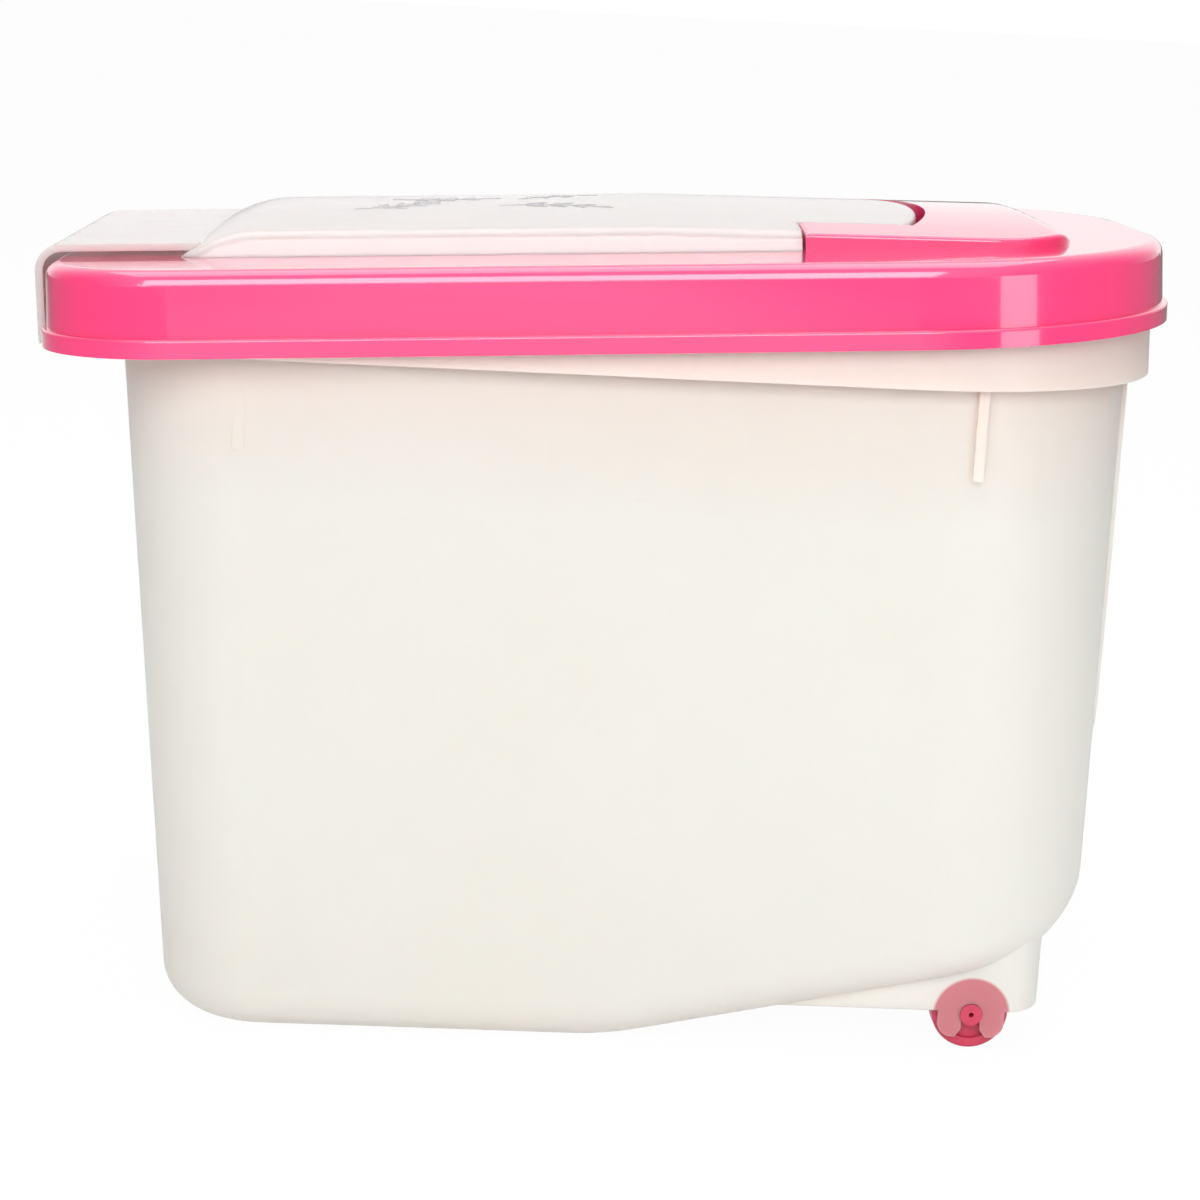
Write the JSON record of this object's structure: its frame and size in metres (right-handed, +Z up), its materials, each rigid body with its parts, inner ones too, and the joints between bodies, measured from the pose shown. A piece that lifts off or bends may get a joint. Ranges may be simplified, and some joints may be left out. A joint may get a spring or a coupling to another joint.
{
  "type": "wheeled grain storage bin",
  "caption": "Translucent moulded storage bin with a sloped rear floor on clip-in wheels, a push-on lid frame and a hinged arched flap with a pull tab.",
  "frame": {"origin": "bottom centre of the bounding box, on the surface the bin stands on", "axes": "+X along the length, from the pull tab towards the wheels; +Y across; +Z up"},
  "size_m": [0.3862, 0.247, 0.2824],
  "materials": {
    "tub_plastic": "translucent milky polypropylene, satin",
    "lid_plastic": "glossy hot pink moulding",
    "flap_plastic": "translucent white moulding, glossy",
    "wheel_plastic": "pink moulding"
  },
  "bodies": {
    "tub": {"tub": "tub_plastic"},
    "lid": {"lid_frame": "lid_plastic"},
    "flap": {"flap": "flap_plastic"},
    "wheel_near": {"wheel_near": "wheel_plastic"},
    "wheel_far": {"wheel_far": "wheel_plastic"}
  },
  "joints": [
    {"name": "lid_lift", "type": "slide", "parent": "tub", "child": "lid", "axis": [-0.0584, 0, 0.9983], "range_m": [0, 0.06]},
    {"name": "flap_hinge", "type": "hinge", "parent": "lid", "child": "flap", "pos_m": [0.08364, 0, 0.27352], "axis": [0, 1, 0], "range_deg": [0, 95]},
    {"name": "wheel_near_spin", "type": "hinge", "parent": "tub", "child": "wheel_near", "pos_m": [0.13316, -0.09, 0.0132], "axis": [0, 1, 0], "continuous": true},
    {"name": "wheel_far_spin", "type": "hinge", "parent": "tub", "child": "wheel_far", "pos_m": [0.13316, 0.09, 0.0132], "axis": [0, 1, 0], "continuous": true}
  ]
}
